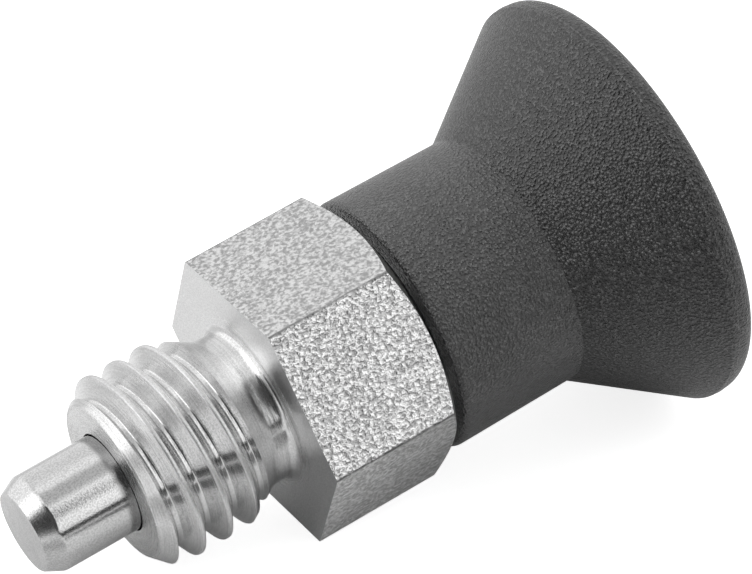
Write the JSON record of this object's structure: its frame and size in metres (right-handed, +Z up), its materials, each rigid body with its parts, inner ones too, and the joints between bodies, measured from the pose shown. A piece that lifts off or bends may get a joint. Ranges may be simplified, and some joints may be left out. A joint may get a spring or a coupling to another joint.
{
  "type": "indexing plunger",
  "caption": "Short non-locking indexing plunger: threaded hexagon body, spring-loaded cylindrical pin and a flared pull knob.",
  "frame": {"origin": "centre of the hexagon's seat face, where the threaded shank meets it, on the plunger's axis", "axes": "+Z up with the plunger lying at rest on one hexagon flat's front edge and on the knob's rim; the plunger's axis runs from the pin at -X to the knob at +X and rises towards +X by the resting tilt of 11.66 degrees"},
  "size_m": [0.0362, 0.0214, 0.0211],
  "materials": {
    "body_steel": "turned stainless steel, bright and slightly scratched",
    "pin_steel": "ground stainless steel, satin",
    "bush_steel": "turned steel, plain",
    "spring_steel": "drawn spring wire",
    "insert_brass": "turned brass",
    "knob_plastic": "moulded, fine leather-like grain, matt"
  },
  "bodies": {
    "housing": {"body": "body_steel", "guide_bush": "bush_steel"},
    "spring_link": {"spring": "spring_steel"},
    "plunger": {"pin": "pin_steel", "knob_insert": "insert_brass", "knob": "knob_plastic"}
  },
  "joints": [
    {"name": "pull", "type": "slide", "parent": "housing", "child": "spring_link", "axis": [0.9794, 0, 0.2021], "range_m": [0, 0.005], "stiffness_N_per_m": 1100, "springref_m": -0.0045, "deforming": ["spring"]},
    {"name": "spin", "type": "hinge", "parent": "spring_link", "child": "plunger", "pos_m": [0.00881, 0, 0.00182], "axis": [0.9794, 0, 0.2021], "continuous": true}
  ]
}
